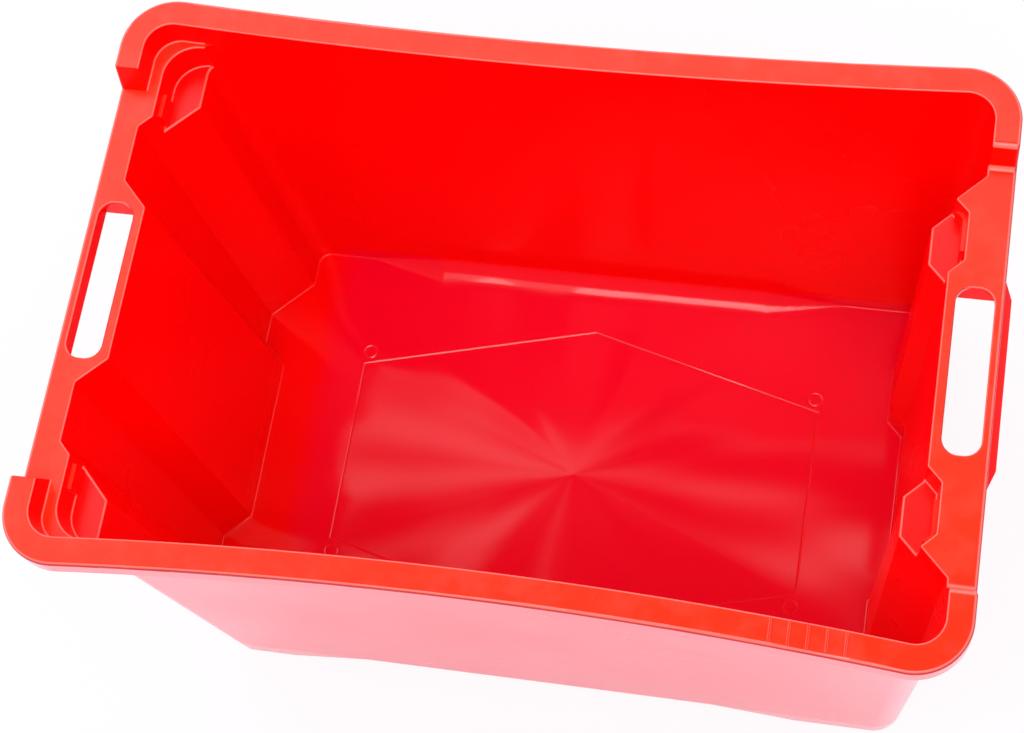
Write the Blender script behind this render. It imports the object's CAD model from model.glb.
import math
from types import SimpleNamespace

import bpy
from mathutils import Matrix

# Looks of the harvest crate: glossy red plastic on a white studio floor, seen from above.
# Metres, +Z up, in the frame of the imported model.

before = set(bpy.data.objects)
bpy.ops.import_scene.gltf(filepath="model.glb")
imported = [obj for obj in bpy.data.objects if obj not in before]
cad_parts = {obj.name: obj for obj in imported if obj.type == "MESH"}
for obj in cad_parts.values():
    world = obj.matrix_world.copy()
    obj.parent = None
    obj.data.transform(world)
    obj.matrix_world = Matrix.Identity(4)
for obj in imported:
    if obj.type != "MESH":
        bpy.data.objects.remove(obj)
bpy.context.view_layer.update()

# Camera, as the photograph was taken
IMAGE_WIDTH_PX = 1024
SENSOR_WIDTH_MM = 36.0
FOCAL_LENGTH_PX = 2211.6
CAMERA_PLACE = (0.2530, -0.4943, 1.6118)
CAMERA_TURN_DEG = (21.287, 6.175, 8.854)
CAMERA_SHIFT = (-0.0603, -0.0148)

# Light levels: 1 is the level at which a colour renders as it is written
ZENITH_LEVEL = 0.04
SIDE_LEVEL = 1.08
REAR_LEVEL = 1.65
SKY_COLOUR = (1.0, 1.0, 1.0, 1.0)

# The sky is dark within one angle from straight above, and as bright as it gets outside another
DARK_SKY_ANGLE = math.radians(13.5)
BRIGHT_SKY_ANGLE = math.radians(30.0)
REAR_DIRECTION = (-0.6, 0.8, 0.0)

# Softbox in front of the crate, turned towards it
SOFTBOX_WATTS = 23.0
SOFTBOX_SIZE = (1.6, 1.3)
SOFTBOX_PLACE = (0.25, -1.1, 2.5)

# Floor of the studio, a hair under the crate
FLOOR_SIZE = 30.0
FLOOR_COLOUR = (0.86, 0.84, 0.96, 1.0)
FLOOR_GAP = 0.0003
WHITE_SHARE_SEEN = 0.85
WHITE_SHARE_MIRRORED = 0.30

# Colours of the plastic
RIM_RED = (0.97, 0.023, 0.002, 1.0)
SMUDGE_RED = (0.78, 0.036, 0.014, 1.0)
INSIDE_RED = (0.97, 0.0005, 0.0005, 1.0)
FLOOR_RED = (0.91, 0.0004, 0.028, 1.0)
OUTSIDE_RED = (0.84, 0.006, 0.018, 1.0)
SKIRT_RED = (0.50, 0.012, 0.014, 1.0)
EDGE_RED = (0.97, 0.140, 0.110, 1.0)
SPECK_RED = (0.55, 0.006, 0.020, 1.0)

# Tint of what the plastic mirrors head-on: on the walls it is red, elsewhere white
WALL_TINT = (1.0, 0.05, 0.05, 1.0)
PLAIN_TINT = (1.0, 1.0, 1.0, 1.0)

# How much the plastic mirrors: 0.5 is plain plastic
PLAIN_MIRROR = 0.5
WALL_MIRROR = 0.08

# Roughness of the regions, and how far it drifts up and down
RIM_ROUGHNESS = 0.24
WALL_ROUGHNESS = 0.28
FLOOR_ROUGHNESS = 0.12
ROUGHNESS_DRIFT = 0.05

# Clear gloss of the outside: low and high on the wall, and how far it drifts up and down
COAT_LOW = 0.82
COAT_HIGH = 1.00
COAT_DRIFT = 0.3

# How far edges turn pale with use: near the floor, near the rim and on the index ribs
FLOOR_EDGE_WEAR = 0.12
RIM_EDGE_WEAR = 0.9
INDEX_EDGE_WEAR = 0.3

# Depth of the slow waves in the surface, and of its grain
WALL_WARP = 0.0005
FLOOR_WARP = 0.004
GRAIN_DEPTH = 0.0002
GRAIN_STRENGTH = 0.05

# Folds that fan out from the middle of the floor: how many, how steep, how steeply the middle stands up,
# how much they change on the way out, and where in the pattern they are taken from
FAN_FOLDS = 0.9
FAN_SLOPE = 0.07
FAN_CROWN = 0.026
FAN_CHANGE = (5.0, 5.0, 0.0)
FAN_SHIFT = (0.0, 0.0, 1.7)
FAN_DETAIL = 1.0

# Factor that takes the height out of a place
LEVEL_PLANE = (1.0, 1.0, 0.0)

# Bump distance at which a height in metres is laid over the surface as it is
TRUE_HEIGHT = 1.0

# Scales of the patterns: how many blotches there are to a metre
WARP_SCALE = 6.0
CLOUD_SCALE = 9.0
COAT_SCALE = 14.0
SMUDGE_SCALE = 38.0
SPECK_SCALE = 70.0
GRAIN_SCALE = 900.0

# How finely the patterns are broken up
WARP_DETAIL = 1.0
PLAIN_DETAIL = 3.0
SMUDGE_DETAIL = 5.0
GRAIN_DETAIL = 2.0
PLAIN_BREAK = 0.5
SMUDGE_BREAK = 0.65

# Each span below gives the value where a region starts and the value where it is full

# Heights above the ground
FLOOR_END_Z = (0.012, 0.024)
WEAR_Z = (0.05, 0.28)
COAT_Z = (0.12, 0.30)
RIM_Z = (0.300, 0.316)
INDEX_Z = (0.3399, 0.3402)

# Where the floor's own colour starts, from the left end
PANEL_X = (-0.225, -0.195)

# Distance from the middle of the crate, measured the way that the face looks
OUTWARD_REACH = (0.0, 0.08)

# How far a face looks up: 0 is upright, 1 is level
SKIRT_LEVEL = (0.08, 0.20)
RIM_LEVEL = (0.15, 0.80)
WALL_END_LEVEL = (0.25, 0.50)
INNER_EDGE_LEVEL = (0.30, 0.50)
OUTER_EDGE_LEVEL = (0.68, 0.80)
FLAT_LEVEL = (0.960, 0.985)

# Strength of the patterns where smudges show and specks end, and the slant at which the clear gloss shows
SMUDGE_SPAN = (0.42, 0.68)
SPECK_SPAN = (0.04, 0.09)
GLOSS_SPAN = (0.40, 0.72)


def add_node(tree, kind, **settings):
    """Add a shader node, with its properties."""
    node = tree.nodes.new(kind)
    for name, value in settings.items():
        setattr(node, name, value)
    return node


def connect(tree, value, socket):
    """Link a socket, or set a plain value on it."""
    if isinstance(value, bpy.types.NodeSocket):
        tree.links.new(value, socket)
    else:
        socket.default_value = value


def math_node(tree, operation, first, second=0.0):
    """Result of a calculation with one or two values."""
    node = add_node(tree, "ShaderNodeMath", operation=operation)
    connect(tree, first, node.inputs[0])
    connect(tree, second, node.inputs[1])
    return node.outputs[0]


def product(tree, first, *others):
    """Product of two or more values."""
    result = first
    for other in others:
        result = math_node(tree, "MULTIPLY", result, other)
    return result


def rest_of(tree, share):
    """What a share leaves of 1."""
    return math_node(tree, "SUBTRACT", 1.0, share)


def ramp(tree, value, span):
    """Share from 0 at the start of a span to 1 at its end, eased at both ends."""
    node = add_node(tree, "ShaderNodeMapRange", interpolation_type="SMOOTHSTEP")
    connect(tree, value, node.inputs["Value"])
    node.inputs["From Min"].default_value, node.inputs["From Max"].default_value = span
    return node.outputs["Result"]


def mix_colour(tree, share, first, second):
    """Colour between two colours."""
    node = add_node(tree, "ShaderNodeMix", data_type="RGBA")
    connect(tree, share, node.inputs[0])
    connect(tree, first, node.inputs[6])
    connect(tree, second, node.inputs[7])
    return node.outputs[2]


def mix_value(tree, share, first, second):
    """Number between two numbers."""
    node = add_node(tree, "ShaderNodeMix", data_type="FLOAT")
    connect(tree, share, node.inputs[0])
    connect(tree, first, node.inputs[2])
    connect(tree, second, node.inputs[3])
    return node.outputs[0]


def vector_node(tree, operation, first, second=None):
    """Outputs of a calculation with one or two vectors."""
    node = add_node(tree, "ShaderNodeVectorMath", operation=operation)
    connect(tree, first, node.inputs[0])
    if second is not None:
        connect(tree, second, node.inputs[1])
    return node.outputs


def parts_of(tree, vector):
    """The three parts of a vector."""
    node = add_node(tree, "ShaderNodeSeparateXYZ")
    connect(tree, vector, node.inputs[0])
    return node.outputs


def noise(tree, place, scale, detail=PLAIN_DETAIL, roughness=PLAIN_BREAK):
    """Cloudy pattern from 0 to 1 in the object's own space."""
    node = add_node(tree, "ShaderNodeTexNoise")
    connect(tree, place, node.inputs["Vector"])
    node.inputs["Scale"].default_value = scale
    node.inputs["Detail"].default_value = detail
    node.inputs["Roughness"].default_value = roughness
    return node.outputs["Fac"]


def swing(tree, pattern, amount):
    """A pattern from 0 to 1, turned into a swing to both sides of 0."""
    return product(tree, math_node(tree, "SUBTRACT", pattern, 0.5), amount)


def bump(tree, height, distance, strength=1.0, normal=None):
    """Normal of the surface with a height laid over it."""
    node = add_node(tree, "ShaderNodeBump")
    connect(tree, height, node.inputs["Height"])
    connect(tree, distance, node.inputs["Distance"])
    connect(tree, strength, node.inputs["Strength"])
    if normal is not None:
        connect(tree, normal, node.inputs["Normal"])
    return node.outputs["Normal"]


def regions(tree):
    """Where a point of the plastic lies, and its share in each region of the crate."""
    place = add_node(tree, "ShaderNodeTexCoord").outputs["Object"]
    x, y, height = parts_of(tree, place)
    normal = add_node(tree, "ShaderNodeNewGeometry").outputs["Normal"]
    normal_x, normal_y, level = parts_of(tree, normal)
    outward = math_node(tree, "ADD", product(tree, x, normal_x), product(tree, y, normal_y))
    outside = ramp(tree, outward, OUTWARD_REACH)
    high = ramp(tree, height, RIM_Z)
    low = rest_of(tree, ramp(tree, height, FLOOR_END_Z))
    outer_edge = ramp(tree, level, OUTER_EDGE_LEVEL)
    turned_down = product(tree, ramp(tree, level, SKIRT_LEVEL), rest_of(tree, outer_edge))
    upright = rest_of(tree, ramp(tree, math_node(tree, "ABSOLUTE", level), WALL_END_LEVEL))
    edge_start = mix_value(tree, outside, ramp(tree, level, INNER_EDGE_LEVEL), outer_edge)
    return SimpleNamespace(
        place=place,
        height=height,
        outside=outside,
        low=low,
        upright=upright,
        panel=product(tree, low, ramp(tree, x, PANEL_X)),
        rim=product(tree, high, ramp(tree, level, RIM_LEVEL)),
        skirt=product(tree, outside, high, turned_down),
        edge=product(tree, edge_start, rest_of(tree, ramp(tree, level, FLAT_LEVEL))),
        inner_wall=product(tree, upright, rest_of(tree, outside)),
    )


def worn_edge(tree, at):
    """How far an edge has turned pale with use."""
    wear = mix_value(tree, ramp(tree, at.height, WEAR_Z), FLOOR_EDGE_WEAR, RIM_EDGE_WEAR)
    wear = mix_value(tree, ramp(tree, at.height, INDEX_Z), wear, INDEX_EDGE_WEAR)
    return product(tree, at.edge, wear)


def specks(tree, at):
    """Sparse small specks of dirt on the outside."""
    cells = add_node(tree, "ShaderNodeTexVoronoi")
    connect(tree, at.place, cells.inputs["Vector"])
    cells.inputs["Scale"].default_value = SPECK_SCALE
    return product(tree, rest_of(tree, ramp(tree, cells.outputs["Distance"], SPECK_SPAN)), at.outside)


def plastic_colour(tree, at):
    """Red by region, smudged on the rim, pale along worn edges and specked outside."""
    smudge = ramp(tree, noise(tree, at.place, SMUDGE_SCALE, SMUDGE_DETAIL, SMUDGE_BREAK), SMUDGE_SPAN)
    colour = mix_colour(tree, at.panel, INSIDE_RED, FLOOR_RED)
    colour = mix_colour(tree, at.outside, colour, OUTSIDE_RED)
    colour = mix_colour(tree, at.rim, colour, mix_colour(tree, smudge, RIM_RED, SMUDGE_RED))
    colour = mix_colour(tree, at.skirt, colour, SKIRT_RED)
    colour = mix_colour(tree, worn_edge(tree, at), colour, EDGE_RED)
    return mix_colour(tree, specks(tree, at), colour, SPECK_RED)


def plastic_roughness(tree, at):
    """Roughness by region, with a slow drift."""
    plain = mix_value(tree, at.low, WALL_ROUGHNESS, FLOOR_ROUGHNESS)
    plain = mix_value(tree, at.rim, plain, RIM_ROUGHNESS)
    return math_node(tree, "ADD", plain, swing(tree, noise(tree, at.place, CLOUD_SCALE), ROUGHNESS_DRIFT))


def outside_coat(tree, at):
    """Clear gloss of the outside, which shows at a slant and is fuller towards the rim."""
    plain = mix_value(tree, ramp(tree, at.height, COAT_Z), COAT_LOW, COAT_HIGH)
    uneven = math_node(tree, "ADD", swing(tree, noise(tree, at.place, COAT_SCALE), COAT_DRIFT), plain)
    slanted = ramp(tree, add_node(tree, "ShaderNodeLayerWeight").outputs["Facing"], GLOSS_SPAN)
    return product(tree, math_node(tree, "SUBTRACT", at.outside, at.skirt), uneven, slanted)


def fan_height(tree, place):
    """Height of the floor's slight folds, which fan out from its middle, in metres."""
    flat = vector_node(tree, "MULTIPLY", place, LEVEL_PLANE)["Vector"]
    heading = vector_node(tree, "NORMALIZE", flat)["Vector"]
    change = vector_node(tree, "MULTIPLY", place, FAN_CHANGE)["Vector"]
    bent = vector_node(tree, "ADD", heading, change)["Vector"]
    shifted = vector_node(tree, "ADD", bent, FAN_SHIFT)["Vector"]
    folds = noise(tree, shifted, FAN_FOLDS, FAN_DETAIL)
    slope = math_node(tree, "SUBTRACT", swing(tree, folds, FAN_SLOPE), FAN_CROWN)
    return product(tree, slope, vector_node(tree, "LENGTH", flat)["Value"])


def plastic_relief(tree, at):
    """Normal of the surface, with slow waves, the folds of the floor and fine grain."""
    waves = noise(tree, at.place, WARP_SCALE, WARP_DETAIL)
    normal = bump(tree, waves, mix_value(tree, at.low, WALL_WARP, FLOOR_WARP))
    normal = bump(tree, fan_height(tree, at.place), TRUE_HEIGHT, at.low, normal)
    grain = noise(tree, at.place, GRAIN_SCALE, GRAIN_DETAIL)
    return bump(tree, grain, GRAIN_DEPTH, GRAIN_STRENGTH, normal)


def crate_plastic():
    """Glossy red polyolefin: orange on the rim, deep red inside, crimson on the floor."""
    material = bpy.data.materials.new("crate_plastic")
    material.use_nodes = True
    tree = material.node_tree
    sockets = tree.nodes["Principled BSDF"].inputs
    at = regions(tree)
    connect(tree, plastic_colour(tree, at), sockets["Base Color"])
    connect(tree, plastic_roughness(tree, at), sockets["Roughness"])
    connect(tree, mix_colour(tree, at.upright, PLAIN_TINT, WALL_TINT), sockets["Specular Tint"])
    connect(tree, mix_value(tree, at.inner_wall, PLAIN_MIRROR, WALL_MIRROR), sockets["Specular IOR Level"])
    connect(tree, outside_coat(tree, at), sockets["Coat Weight"])
    connect(tree, plastic_relief(tree, at), sockets["Normal"])
    return material


def dress_nodes():
    """Give every CAD node the plastic."""
    plastic = crate_plastic()
    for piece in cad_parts.values():
        piece.data.materials.clear()
        piece.data.materials.append(plastic)


def white_share(tree):
    """How far the floor is plain white: for the camera, for a reflection, and not at all for light."""
    path = add_node(tree, "ShaderNodeLightPath")
    seen = product(tree, path.outputs["Is Camera Ray"], WHITE_SHARE_SEEN)
    mirrored = product(tree, path.outputs["Is Glossy Ray"], WHITE_SHARE_MIRRORED)
    return math_node(tree, "MAXIMUM", seen, mirrored)


def studio_white():
    """White paper that still takes a shadow."""
    material = bpy.data.materials.new("studio_white")
    material.use_nodes = True
    tree = material.node_tree
    tree.nodes.clear()
    white = add_node(tree, "ShaderNodeEmission")
    paper = add_node(tree, "ShaderNodeBsdfDiffuse")
    paper.inputs["Color"].default_value = FLOOR_COLOUR
    mix = add_node(tree, "ShaderNodeMixShader")
    connect(tree, white_share(tree), mix.inputs[0])
    connect(tree, paper.outputs[0], mix.inputs[1])
    connect(tree, white.outputs[0], mix.inputs[2])
    output = add_node(tree, "ShaderNodeOutputMaterial")
    connect(tree, mix.outputs[0], output.inputs["Surface"])
    return material


def studio_floor():
    """Plain white floor that keeps a faint shadow."""
    bpy.ops.mesh.primitive_plane_add(size=FLOOR_SIZE, location=(0.0, 0.0, -FLOOR_GAP))
    floor = bpy.context.object
    floor.name = "studio_floor"
    floor.data.materials.append(studio_white())


def studio_sky():
    """Soft sky, dark straight above and brightest behind on the left, which the camera sees white."""
    world = bpy.data.worlds.new("studio_sky")
    bpy.context.scene.world = world
    world.use_nodes = True
    tree = world.node_tree
    direction = add_node(tree, "ShaderNodeTexCoord").outputs["Generated"]
    towards_rear = vector_node(tree, "DOT_PRODUCT", direction, REAR_DIRECTION)["Value"]
    side = add_node(tree, "ShaderNodeMapRange")
    connect(tree, towards_rear, side.inputs["Value"])
    side.inputs["From Max"].default_value = math.sin(BRIGHT_SKY_ANGLE)
    side.inputs["To Min"].default_value = SIDE_LEVEL
    side.inputs["To Max"].default_value = REAR_LEVEL
    overhead_span = (math.cos(BRIGHT_SKY_ANGLE), math.cos(DARK_SKY_ANGLE))
    overhead = ramp(tree, parts_of(tree, direction)["Z"], overhead_span)
    level = mix_value(tree, overhead, side.outputs["Result"], ZENITH_LEVEL)
    camera_ray = add_node(tree, "ShaderNodeLightPath").outputs["Is Camera Ray"]
    background = tree.nodes["Background"]
    connect(tree, math_node(tree, "MAXIMUM", level, camera_ray), background.inputs["Strength"])
    background.inputs["Color"].default_value = SKY_COLOUR


def softbox():
    """Large soft lamp in front, turned towards the crate."""
    lamp = bpy.data.lights.new("softbox", "AREA")
    lamp.shape = "RECTANGLE"
    lamp.size, lamp.size_y = SOFTBOX_SIZE
    lamp.energy = SOFTBOX_WATTS
    stand = bpy.data.objects.new("softbox", lamp)
    bpy.context.scene.collection.objects.link(stand)
    stand.location = SOFTBOX_PLACE
    stand.rotation_euler = (-stand.location).to_track_quat("-Z", "Y").to_euler()


def photo_camera():
    """Camera at the photograph's place, with its focal length and framing."""
    data = bpy.data.cameras.new("photo_camera")
    data.sensor_fit = "HORIZONTAL"
    data.sensor_width = SENSOR_WIDTH_MM
    data.lens = FOCAL_LENGTH_PX / IMAGE_WIDTH_PX * SENSOR_WIDTH_MM
    data.shift_x, data.shift_y = CAMERA_SHIFT
    camera = bpy.data.objects.new("photo_camera", data)
    bpy.context.scene.collection.objects.link(camera)
    camera.location = CAMERA_PLACE
    camera.rotation_euler = [math.radians(angle) for angle in CAMERA_TURN_DEG]
    bpy.context.scene.camera = camera


dress_nodes()
studio_floor()
studio_sky()
softbox()
photo_camera()
bpy.context.scene.view_settings.view_transform = "Standard"
